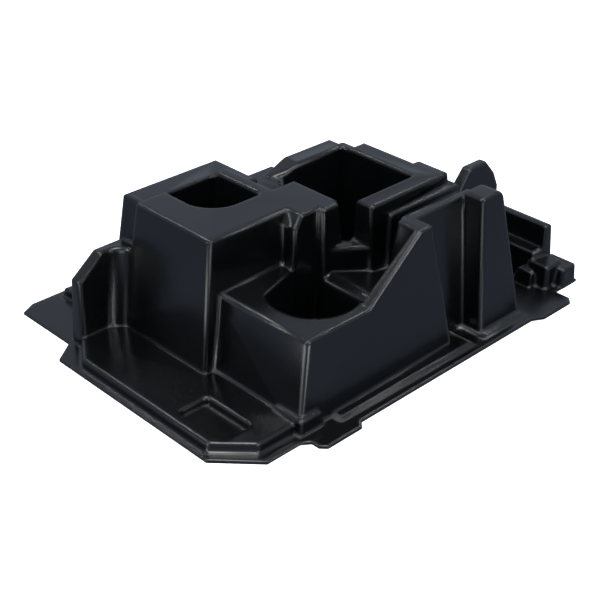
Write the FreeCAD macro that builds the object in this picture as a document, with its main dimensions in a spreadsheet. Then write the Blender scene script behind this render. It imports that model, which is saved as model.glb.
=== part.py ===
import FreeCAD, Part
import Sketcher

import os
import re

# Thermoformed insert tray of a tool case.
# One black sheet is drawn over a mould: a thin flange lies on the case floor,
# hollow blocks rise from it, and pockets hang down inside the blocks.
# The tray is the space between two skins. The outer skin is what is seen
# from above. The inner skin is the same form set back by the wall.
# X runs along the long side, Y across it and Z up. All sizes are in mm.
# Places are counted from the flange's front left corner, on the rest plane,
# and a block is given by its foot there and by the height of its top.

SIZES = [
    # the sheet, and the drafts that let it leave the mould
    ("wall", 2.0),
    ("draft", 4.2),
    ("draft_left", 7.5),
    ("draft_right", 5.0),
    ("draft_steep", 2.0),
    ("draft_low", 9.4),
    # rounding of the sheet over the mould's edges and into its corners
    ("edge_radius", 2.5),
    ("pocket_radius", 5.0),
    ("cove_radius", 14.0),
    ("cove_reach", 4.0),
    ("cove_depth", 40.0),
    # how far a block runs into its neighbour, and a cut past the face that it opens
    ("lap", 20.0),
    ("overcut", 5.0),
    # flange outline
    ("length", 371.2),
    ("width", 283.8),
    ("corner_bevel", 12.0),
    ("back_flap_bevel", 6.0),
    ("nose_right", 27.5),
    ("nose_back", 44.0),
    ("nose_front", 15.5),
    ("nose_end", 57.0),
    ("front_edge", 5.0),
    ("tab_left", 63.5),
    ("tab_right", 104.7),
    ("tab_bevel", 4.5),
    ("flap_left", 299.2),
    ("flap_right", 342.2),
    ("flap_end", 18.0),
    ("left_end_back", 205.8),
    ("back_flap_left", 18.0),
    ("back_flap_front", 218.8),
    # raised deck at the front left
    ("deck_height", 10.0),
    ("deck_left", 4.2),
    ("deck_front", 24.3),
    ("deck_nose", 24.0),
    ("deck_right", 83.2),
    ("deck_back", 208.8),
    ("deck_end", 21.2),
    # raised deck along the back
    ("rear_left", 54.2),
    ("rear_right", 339.2),
    ("rear_front", 170.8),
    ("rear_back", 276.8),
    # shallow tool recess in the front deck
    ("recess_left", 15.2),
    ("recess_right", 39.7),
    ("recess_front", 44.3),
    ("recess_back", 88.8),
    ("recess_floor", 4.5),
    # low plates along the front edge
    ("plate_height", 4.5),
    ("plate_left", 93.2),
    ("plate_right", 233.2),
    ("plate_front", 13.3),
    ("plate_back", 45.8),
    ("end_plate_left", 246.2),
    ("end_plate_right", 296.2),
    # plinth round the front corner of the low block
    ("plinth_left", 61.2),
    ("plinth_right", 83.2),
    ("plinth_front", 19.6),
    ("plinth_back", 48.8),
    ("plinth_height", 13.5),
    # low block with the round pocket, and the cavity floor beside it
    ("low_left", 63.8),
    ("low_right", 209.2),
    ("front_wall", 22.8),
    ("low_back", 140.8),
    ("low_height", 67.0),
    ("cavity_left", 141.2),
    ("cavity_floor", 57.0),
    ("round_x", 122.2),
    ("round_y", 70.3),
    ("round_radius", 33.5),
    ("bay_right", 158.0),
    ("bay_front", 39.3),
    ("bay_back", 104.5),
    ("bay_draft", 5.0),
    ("bay_roll", 9.0),
    ("chord_left", 86.0),
    ("chord_right", 152.0),
    ("chord_front", 82.6),
    ("chord_back", 104.1),
    ("pocket_floor", 7.0),
    # tall block at the left, with the lower strip behind it
    ("block_left", 54.9),
    ("block_right", 174.2),
    ("block_front", 109.3),
    ("block_back", 204.8),
    ("block_height", 108.0),
    ("block_slope_foot", 166.4),
    ("block_slope_run", 13.2),
    ("block_slope_drop", 10.0),
    ("strip_left", 61.7),
    ("strip_right", 172.7),
    ("strip_back", 226.3),
    ("strip_height", 105.0),
    # first deep pocket
    ("first_left", 96.2),
    ("first_right", 144.7),
    ("first_front", 147.8),
    ("first_back", 198.3),
    ("first_corner", 25.0),
    # bridge between the two deep pockets
    ("bridge_left", 132.4),
    ("bridge_right", 206.2),
    ("bridge_front", 99.0),
    ("bridge_back", 154.8),
    ("bridge_bevel_foot", 97.0),
    ("bridge_bevel_run", 6.3),
    ("tongue_left", 154.7),
    ("tongue_right", 184.2),
    ("tongue_front", 90.0),
    # saddle between the first block and the second
    ("saddle_right", 206.2),
    ("saddle_back", 199.8),
    ("saddle_height", 98.0),
    # block of the second deep pocket
    ("second_block_left", 166.2),
    ("second_block_right", 274.7),
    ("second_block_back", 189.8),
    ("second_slope_run", 22.0),
    ("second_slope_drop", 10.0),
    ("rib_left", 183.7),
    ("rib_front", 70.0),
    ("rib_back", 140.0),
    ("rib_end_right", 280.7),
    ("rib_end_back", 115.8),
    ("second_left", 177.2),
    ("second_right", 248.2),
    ("second_front", 92.8),
    ("second_back", 165.8),
    ("dip_left", 248.7),
    ("dip_front", 157.8),
    ("dip_floor", 100.0),
    ("dip_draft", 40.0),
    # sill of the notch that opens the second pocket to the cavity
    ("sill_height", 76.0),
    ("sill_left", 163.2),
    ("sill_right", 186.2),
    ("sill_front", 77.8),
    ("sill_back", 95.8),
    # two steps between the second pocket and the front wall
    ("step_left", 194.7),
    ("step_right", 287.2),
    ("step_front", 65.8),
    ("step_height", 98.0),
    ("trough_left", 201.2),
    ("trough_front", 40.8),
    ("trough_height", 92.0),
    # front wall: sloping rib, wing, web and tower
    ("slope_left", 133.7),
    ("slope_back", 38.3),
    ("wing_left", 172.2),
    ("wing_right", 222.2),
    ("wing_back", 61.0),
    ("wing_height", 107.0),
    ("wing_draft", 12.3),
    ("web_front", 34.8),
    ("web_draft", 6.4),
    ("tower_left", 247.2),
    ("tower_right", 296.0),
    ("tower_front", 17.4),
    ("tower_back", 55.3),
    ("tower_height", 110.0),
    ("tower_draft", 11.0),
    ("tower_front_draft", 6.0),
    ("tower_crown", 8.0),
    # ear at the left end
    ("ear_left", 21.7),
    ("ear_right", 91.2),
    ("ear_front", 206.3),
    ("ear_back", 220.3),
    ("ear_height", 71.5),
    ("ear_shoulder", 53.5),
    ("ear_shoulder_run", 22.0),
    # fin at the right
    ("fin_left", 263.2),
    ("fin_right", 334.2),
    ("fin_front", 72.3),
    ("fin_back", 88.3),
    ("fin_height", 103.5),
    ("fin_slope_foot", 75.0),
    ("fin_slope_left", 272.7),
    ("fin_slope_run", 22.5),
    ("fin_bevel_foot", 78.0),
    ("fin_bevel_waist", 91.0),
    ("fin_bevel_right", 332.0),
    ("fin_bevel_run", 5.8),
    ("fin_crown_run", 11.0),
    # shelf along the right end
    ("shelf_left", 340.2),
    ("shelf_right", 367.7),
    ("shelf_front", 41.3),
    ("shelf_back", 205.8),
    ("shelf_height", 26.0),
    ("shelf_wall_left", 353.2),
    ("shelf_wall_height", 44.0),
    # latch bump at the right front corner
    ("bump_left", 331.1),
    ("bump_middle", 338.0),
    ("bump_crown_right", 363.0),
    ("bump_end_left", 350.0),
    ("bump_right", 370.2),
    ("bump_low_front", 34.9),
    ("bump_middle_front", 24.9),
    ("bump_front", 17.8),
    ("bump_back", 50.8),
    ("bump_low_height", 15.0),
    ("bump_crown_height", 20.0),
    ("bump_height", 17.0),
]

NAMES = re.compile(r"\b(%s)\b" % "|".join(name for name, value in SIZES))


def make_sheet(doc):
    """Write the driving sizes into a spreadsheet, one named row each."""
    sheet = doc.addObject("Spreadsheet::Sheet", "sizes")
    for row, (name, value) in enumerate(SIZES, start=1):
        sheet.set("A%d" % row, name)
        sheet.set("B%d" % row, str(value))
        sheet.setAlias("B%d" % row, name)
    doc.recompute()
    return sheet


def bind(thing, prop, text):
    """Bind a property to a formula in the names of the sheet."""
    thing.setExpression(prop, NAMES.sub(r"sizes.\1", text))


def lean(height, angle):
    """How far a wall of that draft has moved over that height."""
    return "(%s) * tan(%s)" % (height, angle)


class Skin:
    """One skin of the sheet. Its inset is nothing for the outer skin and the wall for the inner."""

    def __init__(self, doc, name, inset):
        self.doc = doc
        self.name = name
        self.inset = inset
        self.blocks = []

    def feature(self, kind, label):
        """Add a feature to the document under a name of its own."""
        return self.doc.addObject(kind, "%s_%s" % (self.name, label))

    def value(self, text):
        """The present value of a formula in the names of the sheet."""
        found = self.doc.getObject("sizes").evalExpression(text)
        return float(getattr(found, "Value", found))

    def wedge(self, label, low, high, bottom, top):
        """A box with sloping sides. Low and high are left, right, front, back."""
        made = self.feature("Part::Wedge", label)
        # a wedge grows along its own Y, so it is turned up about X
        upright = FreeCAD.Rotation(FreeCAD.Vector(1, 0, 0), 90)
        made.Placement = FreeCAD.Placement(FreeCAD.Vector(0, 0, 0), upright)
        bind(made, "Xmin", low[0])
        bind(made, "Xmax", low[1])
        bind(made, "Zmin", "-(%s)" % low[3])
        bind(made, "Zmax", "-(%s)" % low[2])
        bind(made, "X2min", high[0])
        bind(made, "X2max", high[1])
        bind(made, "Z2min", "-(%s)" % high[3])
        bind(made, "Z2max", "-(%s)" % high[2])
        bind(made, "Ymin", bottom)
        bind(made, "Ymax", top)
        return made

    def cut(self, base, tool, label):
        """What is left of the base when the tool is taken away."""
        made = self.feature("Part::Cut", label)
        made.Base = base
        made.Tool = tool
        return made

    def fuse(self, parts, label):
        """Several solids joined into one."""
        made = self.feature("Part::MultiFuse", label)
        made.Shapes = parts
        return made

    def rounded(self, base, label, pick):
        """Round the edges of the base for which pick gives a radius."""
        self.doc.recompute()
        rows = []
        for number, edge in enumerate(base.Shape.Edges, start=1):
            radius = pick(edge)
            if radius:
                rows.append((number, radius, radius))
        if not rows:
            return base
        made = self.feature("Part::Fillet", label)
        made.Base = base
        made.Edges = rows
        return made

    def soften(self, base, label, crown=None, uprights=True):
        """Round a block's top edges, and its uprights too. Its foot and the inner skin stay sharp."""
        self.doc.recompute()
        top = base.Shape.BoundBox.ZMax
        tops = [face.BoundBox for face in base.Shape.Faces if face.BoundBox.ZMin > top - 0.01]
        room = 0.45 * min(min(box.XLength, box.YLength) for box in tops)
        size = min(self.value("edge_radius"), room) if self.inset == "0" else 0
        crown_size = min(self.value("%s - %s" % (crown, self.inset)), room) if crown else size
        middle = base.Shape.BoundBox.Center.x

        def pick(edge):
            box = edge.BoundBox
            if box.ZMin > top - 0.01 and box.XLength < 0.01 and box.XMin > middle:
                return crown_size
            if box.ZMin < top - 0.01 and not uprights:
                return 0
            return size if box.ZMax > 0.01 else 0

        return self.rounded(base, label, pick)

    def block(self, label, left, right, front, back, height, slopes=(), crown=None, uprights=True, **drafts):
        """Add a block rounded over the mould's edges, and more so at its right crown."""
        made = self.solid(label, left, right, front, back, height, slopes, **drafts)
        self.blocks.append(self.soften(made, label + "_rounded", crown, uprights))

    def solid(self, label, left, right, front, back, height, slopes=(), **drafts):
        """A block on the rest plane, given by its foot and its height, trimmed by slopes."""
        tilt = dict(to_left="draft_left", to_right="draft_right", to_front="draft", to_back="draft")
        tilt.update(drafts)
        top = "%s - %s" % (height, self.inset)
        foot = [
            "%s + %s" % (left, self.inset),
            "%s - %s" % (right, self.inset),
            "%s + %s" % (front, self.inset),
            "%s - %s" % (back, self.inset),
        ]
        head = [
            "%s + %s" % (foot[0], lean(top, tilt["to_left"])),
            "%s - %s" % (foot[1], lean(top, tilt["to_right"])),
            "%s + %s" % (foot[2], lean(top, tilt["to_front"])),
            "%s - %s" % (foot[3], lean(top, tilt["to_back"])),
        ]
        made = self.wedge(label, foot, head, "0", top)
        for number, slope in enumerate(slopes, start=1):
            trim = self.trim("%s_slope_%d" % (label, number), *slope)
            made = self.cut(made, trim, "%s_trimmed_%d" % (label, number))
        return made

    def trim(self, label, start, run, low, high, front, back, reach):
        """What lies above a slope from start at low to start + run at high."""
        side = "+" if reach == "-" else "-"
        bottom = "%s - %s" % (low, self.inset)
        near = "%s %s 0.7 * %s" % (start, side, self.inset)
        far = "%s + %s" % (near, run)
        past = "%s %s length" % (start, reach)
        across = ["%s - overcut" % front, "%s + overcut" % back]
        foot = [past, near] if reach == "-" else [near, past]
        head = [past, far] if reach == "-" else [far, past]
        top = "%s - %s" % (high, self.inset)
        return self.wedge(label, foot + across, head + across, bottom, top)

    def pocket(self, label, sides, mouth, floor, draft, radius, corner=None):
        """The space of a pocket with a rounded rim, given by its sides at the mouth."""
        bottom = "%s - %s" % (floor, self.inset)
        brim = "%s - %s" % (mouth, self.inset)
        depth = "%s - (%s)" % (mouth, bottom)
        out = [("-", "+"), ("+", "-"), ("-", "+"), ("+", "-")]
        rim = ["%s %s %s" % (side, away, self.inset) for side, (away, inward) in zip(sides, out)]
        low = ["%s %s %s" % (side, inward, lean(depth, draft)) for side, (away, inward) in zip(rim, out)]
        shaft = self.wedge(label, low, rim, bottom, mouth)
        wide = ["%s %s overcut" % (side, away) for side, (away, inward) in zip(rim, out)]
        plate = self.wedge(label + "_brim", wide, wide, brim, "%s + overcut" % mouth)
        joined = self.fuse([shaft, plate], label + "_space")
        uprights = [self.value("%s + %s" % (size, self.inset)) for size in (radius, corner or radius)]
        return self.rimmed(joined, label, [self.value(side) for side in wide], self.value(brim), uprights)

    def rimmed(self, joined, label, reach, lip, uprights):
        """Round a pocket's uprights, the front left one by its own radius, and the outer skin's lip."""
        edge_size = self.value("edge_radius") if self.inset == "0" else 0
        centre = ((reach[0] + reach[1]) / 2, (reach[2] + reach[3]) / 2)

        def pick(edge):
            box = edge.BoundBox
            if box.ZMax > lip + 0.01 or abs(box.XMin - reach[0]) + abs(box.XMax - reach[0]) < 0.01:
                return 0
            if box.ZMin > lip - 0.01:
                middle = edge.CenterOfMass
                gaps = [abs(middle.x - reach[0]), abs(middle.x - reach[1]),
                        abs(middle.y - reach[2]), abs(middle.y - reach[3])]
                return edge_size if min(gaps) > 0.01 else 0
            if box.ZLength < 1:
                return 0
            front_left = box.Center.x < centre[0] and box.Center.y < centre[1]
            return uprights[1] if front_left else uprights[0]

        return self.rounded(joined, label + "_rounded", pick)

    def prism(self, label, points, height, taper):
        """An upright solid over a closed outline of straight sides."""
        sketch = self.feature("Sketcher::SketchObject", label + "_outline")
        places = [FreeCAD.Vector(self.value(x), self.value(y), 0) for x, y in points]
        for here, place in enumerate(places):
            sketch.addGeometry(Part.LineSegment(place, places[(here + 1) % len(places)]), False)
        for here in range(len(places)):
            following = (here + 1) % len(places)
            sketch.addConstraint(Sketcher.Constraint("Coincident", here, 2, following, 1))
        for here, (x, y) in enumerate(points):
            row = sketch.addConstraint(Sketcher.Constraint("DistanceX", -1, 1, here, 1, places[here].x))
            bind(sketch, "Constraints[%d]" % row, x)
            row = sketch.addConstraint(Sketcher.Constraint("DistanceY", -1, 1, here, 1, places[here].y))
            bind(sketch, "Constraints[%d]" % row, y)
        made = self.feature("Part::Extrusion", label)
        made.Base = sketch
        made.DirMode = "Custom"
        made.Dir = FreeCAD.Vector(0, 0, 1)
        made.Solid = True
        bind(made, "LengthFwd", "%s - %s" % (height, self.inset))
        bind(made, "TaperAngle", "-%s" % taper)
        return made


def add_flange(skin):
    """The flange that lies on the case floor, a plain sheet cut to its outline."""
    points = [
        ("0", "nose_back"),
        ("nose_right", "nose_front"),
        ("nose_end", "nose_front"),
        ("tab_left", "nose_front - tab_bevel"),
        ("tab_left", "tab_bevel"),
        ("tab_left + tab_bevel", "0"),
        ("tab_right - tab_bevel", "0"),
        ("tab_right", "front_edge"),
        ("flap_left - tab_bevel", "front_edge"),
        ("flap_left + front_edge", "0"),
        ("flap_right - tab_bevel", "0"),
        ("flap_right", "tab_bevel"),
        ("flap_right", "flap_end"),
        ("length", "flap_end"),
        ("length", "width - corner_bevel"),
        ("length - corner_bevel", "width"),
        ("back_flap_left + corner_bevel", "width"),
        ("back_flap_left", "width - back_flap_bevel"),
        ("back_flap_left", "back_flap_front"),
        ("0", "left_end_back"),
    ]
    skin.blocks.append(skin.prism("flange", points, "wall", "0"))


def add_decks(skin):
    """The two raised decks, the low plates and the plinth."""
    set_back = skin.inset
    corner = "0.41 * " + set_back
    points = [
        ("deck_left + " + set_back, "deck_front + deck_nose + " + corner),
        ("deck_left + deck_nose + " + corner, "deck_front + " + set_back),
        ("deck_right - " + set_back, "deck_front + " + set_back),
        ("deck_right - " + set_back, "deck_back - " + set_back),
        ("deck_end + " + corner, "deck_back - " + set_back),
        ("deck_left + " + set_back, "deck_back - deck_nose - " + corner),
    ]
    deck = skin.prism("deck", points, "deck_height", "draft_low")
    skin.blocks.append(skin.soften(deck, "deck_rounded"))
    skin.block("rear_deck", "rear_left", "rear_right", "rear_front", "rear_back", "deck_height",
               uprights=False)
    skin.block("plate", "plate_left", "plate_right", "plate_front", "plate_back", "plate_height",
               uprights=False)
    skin.block("end_plate", "end_plate_left", "end_plate_right", "plate_front", "plate_back", "plate_height",
               uprights=False)
    skin.block("plinth", "plinth_left", "plinth_right", "plinth_front", "plinth_back", "plinth_height",
               uprights=False)


def add_low_block(skin):
    """The low block, the cavity floor beside it and the round pocket in it."""
    skin.block("low", "low_left", "low_right", "front_wall", "low_back", "low_height", to_left="draft_low")
    low = skin.blocks.pop()
    cavity = skin.pocket("cavity", ["cavity_left", "low_right + lap", "slope_back - wall", "low_back + lap"],
                         "low_height", "cavity_floor", "draft", "edge_radius")
    low = skin.cut(low, cavity, "low_with_cavity")
    skin.block("bed", "cavity_left + lap / 2", "wing_right + 0.75 * lap", "web_front + 0.6 * lap", "low_back",
               "cavity_floor")
    bed = skin.blocks.pop()
    low = skin.fuse([low, bed], "low_with_bed")
    skin.blocks.append(skin.cut(low, round_pocket(skin), "low_with_pockets"))


def round_pocket(skin):
    """The space of the round pocket, which widens to a bay on its right."""
    bore = skin.feature("Part::Cone", "round_bore")
    floor = "pocket_floor - %s" % skin.inset
    mouth = "round_radius + %s" % skin.inset
    bind(bore, "Placement.Base.x", "round_x")
    bind(bore, "Placement.Base.y", "round_y")
    bind(bore, "Placement.Base.z", floor)
    bind(bore, "Radius1", "%s - %s" % (mouth, lean("low_height - (%s)" % floor, "draft")))
    bind(bore, "Radius2", "%s + %s" % (mouth, lean("overcut", "draft")))
    bind(bore, "Height", "low_height + overcut - (%s)" % floor)
    top = "low_height + overcut"
    rise = "(%s) - (%s)" % (top, floor)
    rim = ["round_x", "bay_right + %s" % skin.inset, "bay_front - %s" % skin.inset, "bay_back"]
    low = [rim[0], "%s - %s" % (rim[1], lean(rise, "bay_draft")),
           "%s + %s" % (rim[2], lean(rise, "draft_steep")), rim[3]]
    bay = skin.wedge("bay", low, rim, floor, top)
    step = "cavity_floor - %s" % skin.inset
    front = "%s + %s" % (rim[2], lean("(%s) - (%s)" % (top, step), "draft_steep"))
    shoulder = skin.wedge("bay_shoulder", ["round_x", "bay_right + bay_roll", front, rim[3]],
                          ["round_x", "bay_right + bay_roll", rim[2], rim[3]], step, top)
    joined = skin.fuse([bay, shoulder], "bay_space")
    height = skin.value(step)
    size = skin.value("bay_roll - " + skin.inset)

    def pick(edge):
        box = edge.BoundBox
        level = abs(box.ZMin - height) + abs(box.ZMax - height) < 0.01
        return size if level and box.XLength < 0.01 and box.XMin < skin.value("bay_right + wall") else 0

    space = skin.fuse([bore, skin.rounded(joined, "bay_rounded", pick)], "round_space")
    points = [
        ("chord_left", "chord_front + " + skin.inset),
        ("chord_right", "chord_back + " + skin.inset),
        ("chord_right", "chord_back + cove_depth"),
        ("chord_left", "chord_back + cove_depth"),
    ]
    chord = skin.prism("chord", points, "low_height + 3 * overcut", "draft")
    return skin.cut(space, chord, "round_pocket")


def add_ear(skin):
    """The ear at the left end, its outer shoulder cut to a slope."""
    shoulder = ("ear_left + 1", "ear_shoulder_run", "ear_shoulder", "ear_height", "ear_front", "ear_back", "-")
    skin.block("ear", "ear_left", "ear_right", "ear_front", "ear_back", "ear_height", [shoulder],
               to_left="draft_steep", to_front="draft_steep", to_back="draft_steep")


def add_cove(skin):
    """The wide cove where the front of the ear runs into the left face of the tall block."""
    ear = skin.solid("cove_ear", "block_left - cove_radius - cove_reach", "block_left + cove_depth",
                     "ear_front", "ear_back", "ear_height", to_front="draft_steep", to_back="draft_steep")
    side = skin.solid("cove_side", "block_left", "block_left + cove_depth", "ear_front - 2 * cove_radius",
                      "ear_back", "ear_height", to_back="draft_steep")
    joined = skin.fuse([ear, side], "cove_space")
    skin.doc.recompute()
    corner = skin.value("block_left"), skin.value("ear_front")
    size = skin.value("cove_radius + " + skin.inset)
    edge_size = 0 if skin.inset != "0" else skin.value("edge_radius")

    def pick(edge):
        box = edge.BoundBox
        if box.ZMax < 0.01:
            return 0
        middle = edge.CenterOfMass
        inside = abs(middle.x - corner[0]) < 9 and abs(middle.y - corner[1]) < 6
        return size if inside and box.ZLength > 1 else edge_size

    skin.blocks.append(skin.rounded(joined, "cove", pick))


def add_fin(skin):
    """The fin at the right, trimmed to a hump between two slopes."""
    span = ("fin_front", "fin_back")
    slopes = [
        ("fin_slope_left", "fin_slope_run", "fin_slope_foot", "fin_height") + span + ("-",),
        ("fin_bevel_right - fin_bevel_run", "-fin_crown_run", "fin_bevel_waist", "fin_height") + span + ("+",),
        ("fin_bevel_right", "-fin_bevel_run", "fin_bevel_foot", "fin_bevel_waist") + span + ("+",),
    ]
    skin.block("fin", "fin_left", "fin_right", "fin_front", "fin_back", "fin_height", slopes,
               to_right="draft_steep", to_front="draft_steep", to_back="draft_steep")


def add_second_block(skin):
    """The block of the second pocket, with its slope down to the saddle."""
    slope = ("second_left + 1", "second_slope_run", "block_height - second_slope_drop", "block_height",
             "bridge_front", "second_block_back", "-")
    skin.block("second_block", "second_block_left", "second_block_right", "bridge_front + 0.35 * lap",
               "second_block_back", "block_height", [slope])
    skin.block("rib_end", "second_right", "rib_end_right", "rib_front", "rib_end_back", "block_height")
    skin.block("rib", "rib_left", "second_block_right", "rib_front", "rib_back", "block_height",
               to_left="draft_steep")


def add_bridge(skin):
    """The bridge between the blocks, with its bevel and the tongue at its end."""
    bevel = ("bridge_left + 2.6", "bridge_bevel_run + 0.8", "bridge_bevel_foot", "block_height",
             "bridge_front", "bridge_back", "-")
    skin.block("bridge", "bridge_left", "bridge_right", "bridge_front", "bridge_back", "block_height",
               [bevel], to_left="draft_steep", to_front="draft_steep")
    skin.block("tongue", "tongue_left", "tongue_right", "tongue_front", "bridge_back", "block_height",
               to_left="draft_steep")


def add_front_wall(skin):
    """The front wall: sloping rib, wing, recessed web and tower."""
    slope = ("slope_left", "wing_left + 0.7 * lap - slope_left", "low_height", "wing_height",
             "front_wall", "slope_back", "-")
    skin.block("slope", "slope_left", "wing_right - lap", "front_wall", "slope_back", "wing_height",
               [slope], to_left="0", to_back="0.5")
    skin.block("wing", "wing_left", "wing_right", "front_wall", "wing_back", "wing_height", to_right="wing_draft")
    skin.block("web", "wing_left", "tower_left + 1.25 * lap", "web_front", "wing_back", "wing_height",
               to_front="web_draft")
    skin.block("tower", "tower_left", "tower_right", "tower_front", "tower_back", "tower_height",
               crown="tower_crown", to_left="draft_steep", to_right="tower_draft",
               to_front="tower_front_draft")
    skin.block("trough", "trough_left", "step_right", "trough_front", "bridge_front", "trough_height",
               uprights=False)
    skin.block("step", "step_left", "step_right", "step_front", "bridge_front + lap", "step_height",
               uprights=False, to_left="draft_right")


def add_tall_blocks(skin):
    """The tall block at the left, its lower strip, and the saddle."""
    slope = ("block_slope_foot", "-block_slope_run", "block_height - block_slope_drop", "block_height",
             "block_front", "block_back", "+")
    skin.block("tall", "block_left", "block_right", "block_front", "block_back", "block_height", [slope])
    skin.block("strip", "strip_left", "strip_right", "block_back - 2 * lap", "strip_back", "strip_height",
               uprights=False)
    skin.block("saddle", "block_right - 2.5 * lap", "saddle_right", "bridge_back - lap", "saddle_back",
               "saddle_height", uprights=False)


def add_sill(skin):
    """The sill of the notch, its front set aslant between the bridge and the rib."""
    slant = "0.34 * " + skin.inset
    points = [
        ("sill_left + " + slant, "sill_back + " + skin.inset),
        ("sill_right + " + slant, "sill_front + " + skin.inset),
        ("sill_right + 0.75 * lap", "sill_front + " + skin.inset),
        ("sill_right + 0.75 * lap", "sill_back + 0.75 * lap"),
        ("sill_left + " + slant, "sill_back + 0.75 * lap"),
    ]
    sill = skin.prism("sill", points, "sill_height", "0")
    skin.blocks.append(skin.soften(sill, "sill_rounded"))


def add_right_end(skin):
    """The shelf along the right end and the latch bump at its corner."""
    skin.block("shelf", "shelf_left", "shelf_right", "shelf_front", "shelf_back", "shelf_height",
               uprights=False, to_right="draft_steep")
    skin.block("shelf_wall", "shelf_wall_left", "shelf_right", "shelf_front", "shelf_back",
               "shelf_wall_height", uprights=False, to_right="draft_steep")
    skin.block("bump_low", "bump_left", "bump_right - 3", "bump_low_front", "bump_back", "bump_low_height",
               uprights=False)
    skin.block("bump_crown", "bump_middle", "bump_crown_right", "bump_middle_front", "bump_back - 3",
               "bump_crown_height")
    skin.block("bump_end", "bump_end_left", "bump_right", "bump_front", "bump_back - 6", "bump_height",
               to_right="draft_steep")


def pockets(skin):
    """The two deep pockets, the dip in the far rim and the shallow tool recess."""
    return [
        skin.pocket("first_pocket", ["first_left", "first_right", "first_front", "first_back"],
                    "block_height", "pocket_floor", "draft", "pocket_radius", "first_corner"),
        skin.pocket("second_pocket", ["second_left", "second_right", "second_front", "second_back"],
                    "block_height", "pocket_floor", "draft", "pocket_radius"),
        skin.pocket("corner_dip", ["dip_left", "second_block_right + lap", "dip_front", "second_block_back + lap"],
                    "block_height", "dip_floor", "dip_draft", "edge_radius"),
        skin.pocket("recess", ["recess_left", "recess_right", "recess_front", "recess_back"],
                    "deck_height", "recess_floor", "draft_left", "edge_radius"),
    ]


def make_skin(doc, name, inset):
    """Build one skin of the sheet, set back everywhere by inset."""
    skin = Skin(doc, name, inset)
    if inset == "0":
        add_flange(skin)
    add_decks(skin)
    add_low_block(skin)
    add_ear(skin)
    add_cove(skin)
    add_fin(skin)
    add_second_block(skin)
    add_bridge(skin)
    add_front_wall(skin)
    add_tall_blocks(skin)
    add_sill(skin)
    add_right_end(skin)
    form = skin.fuse(skin.blocks, "form")
    spaces = skin.fuse(pockets(skin), "spaces")
    made = skin.cut(form, spaces, "skin")
    doc.recompute()
    return made


def make_tray(doc):
    """The formed sheet: the outer skin less the inner, origin under its middle."""
    outer = make_skin(doc, "outer", "0")
    inner = make_skin(doc, "inner", "wall")
    tray = doc.addObject("Part::Cut", "tray")
    tray.Label = "tray"
    tray.Base = outer
    tray.Tool = inner
    bind(tray, "Placement.Base.x", "-length / 2")
    bind(tray, "Placement.Base.y", "-width / 2")
    doc.recompute()
    return tray


def check(doc, pieces):
    """Stop unless every object is sound and every piece is one good solid."""
    for thing in doc.Objects:
        if "Invalid" in thing.State or "Error" in thing.State:
            raise RuntimeError("%s did not build" % thing.Name)
    for piece in pieces:
        if piece.Shape.isNull() or not piece.Shape.isValid():
            raise RuntimeError("%s has no sound shape" % piece.Label)
        if len(piece.Shape.Solids) != 1:
            raise RuntimeError("%s is not one solid" % piece.Label)


doc = FreeCAD.newDocument("tool_case_tray")
make_sheet(doc)
pieces = [make_tray(doc)]
check(doc, pieces)
os.makedirs("parts", exist_ok=True)
for piece in pieces:
    piece.Shape.exportStep("parts/%s.step" % piece.Label)
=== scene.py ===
from math import radians

import bmesh
import bpy
from mathutils import Matrix, Vector


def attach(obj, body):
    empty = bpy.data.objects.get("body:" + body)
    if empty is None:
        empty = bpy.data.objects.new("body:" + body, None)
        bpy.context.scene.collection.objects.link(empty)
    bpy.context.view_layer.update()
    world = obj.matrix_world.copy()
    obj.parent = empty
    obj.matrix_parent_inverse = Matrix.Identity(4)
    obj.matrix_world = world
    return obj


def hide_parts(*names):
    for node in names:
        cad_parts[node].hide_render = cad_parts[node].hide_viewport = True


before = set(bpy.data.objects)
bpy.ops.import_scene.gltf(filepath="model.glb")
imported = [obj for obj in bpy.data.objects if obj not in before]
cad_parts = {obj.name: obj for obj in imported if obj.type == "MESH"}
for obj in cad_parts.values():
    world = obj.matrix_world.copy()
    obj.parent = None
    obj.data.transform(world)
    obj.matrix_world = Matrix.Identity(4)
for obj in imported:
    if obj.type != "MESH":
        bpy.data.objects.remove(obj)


def write_size():
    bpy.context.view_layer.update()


write_size()


# The formed sheet

# The insert of a tool case: one sheet of black polystyrene, drawn hot over a mould by vacuum
# and cut out at its flange. It lies loose in the case. The CAD mesh gives its form, and this
# section rounds its edges, because a hot sheet rounds over every edge of the mould.


def colour(code):
    """Turn an sRGB hex colour into linear values with alpha."""
    channels = [int(code[i:i + 2], 16) / 255 for i in (1, 3, 5)]
    linear = [c / 12.92 if c <= 0.04045 else ((c + 0.055) / 1.055) ** 2.4 for c in channels]
    return linear + [1.0]


def node(tree, kind, settings=None, links=None, **inputs):
    """Add a node with its settings, its plain input values and its links, by socket name or number."""
    made = tree.nodes.new(kind)
    for name, value in (settings or {}).items():
        setattr(made, name, value)
    for name, value in inputs.items():
        made.inputs[name.replace("_", " ")].default_value = value
    for socket, source in (links or {}).items():
        tree.links.new(source, made.inputs[socket])
    return made


PLASTIC_BLACK = "#040506"

# The sheet's own grain, about a tenth of a millimetre wide, is too fine to show in the render,
# so it is drawn at 0.7 mm.
GRAIN = 0.0007
GRAIN_DEPTH = 0.0002

# The shader draws each crease round at this radius, as wide as the sheet rounds over the mould.
CREASE_RADIUS = 0.004
CREASE_SAMPLES = 8


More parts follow.
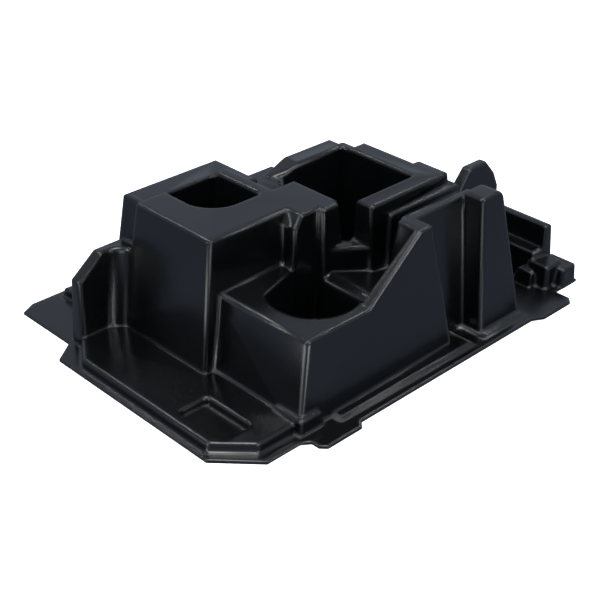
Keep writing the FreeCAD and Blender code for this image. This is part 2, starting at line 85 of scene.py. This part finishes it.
def black_plastic():
    """Black polystyrene as the vacuum mould leaves it: satin, with a soft edge to each highlight."""
    made = bpy.data.materials.new("black_plastic")
    made.use_nodes = True
    tree = made.node_tree
    tree.nodes.clear()
    place = node(tree, "ShaderNodeTexCoord")
    grain = node(tree, "ShaderNodeTexNoise", links={"Vector": place.outputs["Object"]},
                 Scale=1 / GRAIN, Detail=2.0)
    crease = node(tree, "ShaderNodeBevel", {"samples": CREASE_SAMPLES}, Radius=CREASE_RADIUS)
    bump = node(tree, "ShaderNodeBump",
                links={"Height": grain.outputs["Fac"], "Normal": crease.outputs["Normal"]},
                Strength=0.08, Distance=GRAIN_DEPTH)
    skin = node(tree, "ShaderNodeBsdfPrincipled", links={"Normal": bump.outputs["Normal"]},
                Base_Color=colour(PLASTIC_BLACK), Roughness=0.24, IOR=1.5)
    node(tree, "ShaderNodeOutputMaterial", links={"Surface": skin.outputs["BSDF"]})
    return made


# A foot is the hollow edge where a wall stands on a lower form. Lengths are in metres.
FOOT_WIDTH = 0.0025
FOOT_SEGMENTS = 3
SHORTEST_FOOT = 0.01
LEAST_BEND = radians(50)
MOST_BEND = radians(100)
LEVEL_WITHIN = 0.001
SQUARE_WITHIN = 0.003
UPWARD = 0.02


def is_foot(edge):
    """Whether an edge is a foot to round: long, hollow, and on the upper side of the sheet.

    There both faces look a little upwards, because the walls lean back for the mould. A level
    foot also has to run square to the tray, because the bevel tears the mesh at a slanting one.
    """
    if len(edge.link_faces) != 2 or edge.is_convex or edge.calc_length() < SHORTEST_FOOT:
        return False
    along = edge.verts[1].co - edge.verts[0].co
    level = abs(along.z) < LEVEL_WITHIN
    square = min(abs(along.x), abs(along.y)) <= SQUARE_WITHIN
    if level and not square:
        return False
    first, second = edge.link_faces
    upper_side = min(first.normal.z, second.normal.z) > UPWARD
    return upper_side and LEAST_BEND < edge.calc_face_angle() < MOST_BEND


MERGE_DISTANCE = 0.00002
FLAT_ANGLE = radians(0.4)
SHARP_ANGLE = radians(32)
FLATS_WEIGHT = 100


def soft_copy(source):
    """A merged copy of the CAD mesh, with its feet rounded and its large faces shaded flat."""
    mesh = source.data.copy()
    piece = bpy.data.objects.new("tray_sheet", mesh)
    bpy.context.scene.collection.objects.link(piece)
    shape = bmesh.new()
    shape.from_mesh(mesh)
    bmesh.ops.remove_doubles(shape, verts=shape.verts, dist=MERGE_DISTANCE)
    bmesh.ops.dissolve_limit(shape, angle_limit=FLAT_ANGLE, verts=shape.verts, edges=shape.edges)
    weight = shape.edges.layers.float.new("bevel_weight_edge")
    for edge in shape.edges:
        if is_foot(edge):
            edge[weight] = 1.0
    shape.to_mesh(mesh)
    shape.free()
    foot = piece.modifiers.new("foot", "BEVEL")
    foot.limit_method = "WEIGHT"
    foot.width = FOOT_WIDTH
    foot.segments = FOOT_SEGMENTS
    foot.use_clamp_overlap = False
    mesh.shade_smooth()
    mesh.set_sharp_from_angle(angle=SHARP_ANGLE)
    flats = piece.modifiers.new("flats", "WEIGHTED_NORMAL")
    flats.keep_sharp = True
    flats.weight = FLATS_WEIGHT
    return piece


tray = soft_copy(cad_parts["tray"])
tray.data.materials.clear()
tray.data.materials.append(black_plastic())
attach(tray, "root")
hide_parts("tray")


# The studio floor and surround

# A floor of white paper in a white surround, as in a catalogue photograph. The camera sees both
# white. To all other light they are greyer, because the tray in the photograph mirrors less of
# them. The floor is 8 m wide, so that its far side stays out of the picture.

FLOOR_SIZE = 8
WHITE = "#ffffff"
FLOOR_GREY = "#6c737f"
FLOOR_GLOW = 0.55
ROOM_GREY = "#d0dcee"
ROOM_STRENGTH = 0.66


def floor_finish():
    """White paper: it shows white to the camera and sends little light back up."""
    made = bpy.data.materials.new("paper")
    made.use_nodes = True
    tree = made.node_tree
    tree.nodes.clear()
    rays = node(tree, "ShaderNodeLightPath")
    dim = node(tree, "ShaderNodeBsdfDiffuse", Color=colour(FLOOR_GREY))
    white = node(tree, "ShaderNodeBsdfDiffuse", Color=colour(WHITE))
    glow = node(tree, "ShaderNodeEmission", Color=colour(WHITE), Strength=FLOOR_GLOW)
    bright = node(tree, "ShaderNodeAddShader", links={0: white.outputs[0], 1: glow.outputs[0]})
    mix = node(tree, "ShaderNodeMixShader",
               links={0: rays.outputs["Is Camera Ray"], 1: dim.outputs[0], 2: bright.outputs[0]})
    node(tree, "ShaderNodeOutputMaterial", links={"Surface": mix.outputs[0]})
    return made


def surround():
    """A white background for the camera, a dimmer bluish room for everything else."""
    world = bpy.data.worlds.new("surround")
    bpy.context.scene.world = world
    world.use_nodes = True
    tree = world.node_tree
    tree.nodes.clear()
    rays = node(tree, "ShaderNodeLightPath")
    room = node(tree, "ShaderNodeBackground", Color=colour(ROOM_GREY), Strength=ROOM_STRENGTH)
    white = node(tree, "ShaderNodeBackground", Color=colour(WHITE), Strength=1.0)
    mix = node(tree, "ShaderNodeMixShader",
               links={0: rays.outputs["Is Camera Ray"], 1: room.outputs[0], 2: white.outputs[0]})
    node(tree, "ShaderNodeOutputWorld", links={"Surface": mix.outputs[0]})


bpy.ops.mesh.primitive_plane_add(size=FLOOR_SIZE, location=(0, 0, 0))
floor = bpy.context.object
floor.name = "floor"
floor.data.materials.append(floor_finish())
surround()


# The lamps

# Soft rectangular lamps, each with its name, place, aim, size and power in watts. The overhead
# one lights the tops and the left and right ones the walls. The small high ones stand where the
# rounded top edges mirror them to the camera, as thin bright lines.

MIDDLE = (0, 0, 0.05)
LAMPS = (
    ("overhead", (-0.2, -0.2, 1.4), (0, 0, 0), (0.5, 0.5), 12),
    ("left", (-1.4, 0.1, 0.8), MIDDLE, (0.2, 0.8), 9),
    ("right", (0.1, -1.4, 0.8), MIDDLE, (0.8, 0.2), 9),
    ("left high", (-0.2, 0.98, 1.25), MIDDLE, (0.12, 0.12), 2.2),
    ("right high", (0.98, 0.0, 1.27), MIDDLE, (0.12, 0.12), 2.2),
)

# Two more lie at the floor and shine upwards. The upright corners mirror them as a second line.
# They aim a hair off straight up, so that their sides stay in line with the tray's.
LOW_LAMPS = (
    ("left glow", (-0.34, -0.06, 0.002), (0.2, 0.12)),
    ("right glow", (-0.12, -0.34, 0.002), (0.1, 0.2)),
)
LOW_POWER = 0.5
HAIR = 0.0001


def lamp(name, place, aim, size, power):
    """A soft rectangular lamp at a place, turned to aim at a point."""
    light = bpy.data.lights.new(name, "AREA")
    light.shape = "RECTANGLE"
    light.size, light.size_y = size
    light.energy = power
    made = bpy.data.objects.new(name, light)
    made.location = place
    made.rotation_euler = (Vector(aim) - Vector(place)).to_track_quat("-Z", "Y").to_euler()
    bpy.context.scene.collection.objects.link(made)
    return made


for name, place, aim, size, power in LAMPS:
    lamp(name, place, aim, size, power)
for name, place, size in LOW_LAMPS:
    glow = lamp(name, place, (place[0], place[1] + HAIR, 1), size, LOW_POWER)
    glow.visible_camera = False


# The camera

# It stands where the photograph's did, found from the corners of the flange. Angles are in
# degrees: its azimuth, its angle down and its roll. The lens is for a sensor 36 mm wide.

CAMERA_PLACE = (-0.6041, -0.6033, 0.515)
AZIMUTH = 45.21
DOWN = 30.91
ROLL = -0.87
LENS = 76.74
SENSOR = 36
NEAREST = 0.05


def camera():
    """Aim the lens along the azimuth and down, roll it, and move it to its place."""
    lens = bpy.data.cameras.new("camera")
    lens.sensor_width = SENSOR
    lens.lens = LENS
    lens.clip_start = NEAREST
    made = bpy.data.objects.new("camera", lens)
    turn = Matrix.Rotation(radians(AZIMUTH) - radians(90), 4, "Z")
    tilt = Matrix.Rotation(radians(90) - radians(DOWN), 4, "X")
    roll = Matrix.Rotation(-radians(ROLL), 4, "Z")
    made.matrix_world = Matrix.Translation(CAMERA_PLACE) @ turn @ tilt @ roll
    bpy.context.scene.collection.objects.link(made)
    bpy.context.scene.camera = made


camera()
bpy.context.scene.view_settings.view_transform = "Standard"
write_size()
